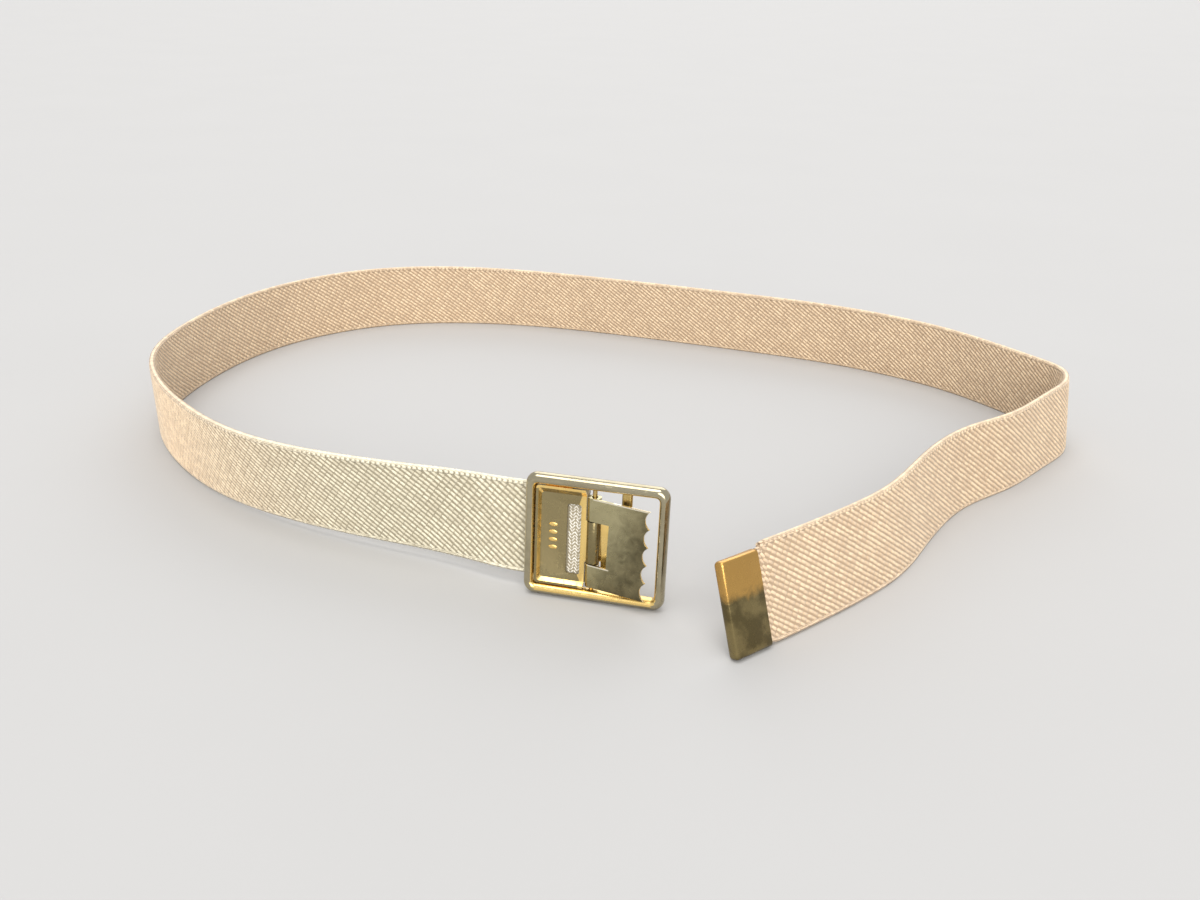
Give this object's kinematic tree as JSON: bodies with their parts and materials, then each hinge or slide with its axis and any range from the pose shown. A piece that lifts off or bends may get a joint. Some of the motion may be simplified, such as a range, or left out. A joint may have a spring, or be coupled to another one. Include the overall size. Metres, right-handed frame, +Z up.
{
  "type": "web belt",
  "caption": "Webbing belt standing in an open loop, with an open rectangular frame buckle, a hinged toothed clamp lever and a folded metal tip.",
  "frame": {"origin": "middle of the loop's plan, at the level the webbing's lower edge and the buckle stand on", "axes": "+X along the loop's longer way, with the buckle's hinge end to -X and its open end to +X; -Y towards the side that the buckle's face looks to; +Z up, along the webbing's width"},
  "size_m": [0.3954, 0.3356, 0.0416],
  "materials": {
    "webbing": "matte ribbed weave",
    "frame_brass": "polished, pale lacquered",
    "plate_brass": "polished, lightly scratched",
    "lever_brass": "polished, tarnished at the teeth",
    "tip_brass": "polished, lightly scratched"
  },
  "bodies": {
    "belt": {"strap": "webbing", "buckle_frame": "frame_brass", "back_plate": "plate_brass", "cross_bar": "plate_brass", "hinge_pin": "plate_brass", "strap_tip": "tip_brass"},
    "lever": {"toothed_lever": "lever_brass"}
  },
  "joints": [
    {"name": "lever_hinge", "type": "hinge", "parent": "belt", "child": "lever", "pos_m": [-0.00559, -0.12949, 0.0199], "axis": [-0.0245, -0.0936, -0.9953], "range_deg": [-11, 80]}
  ]
}
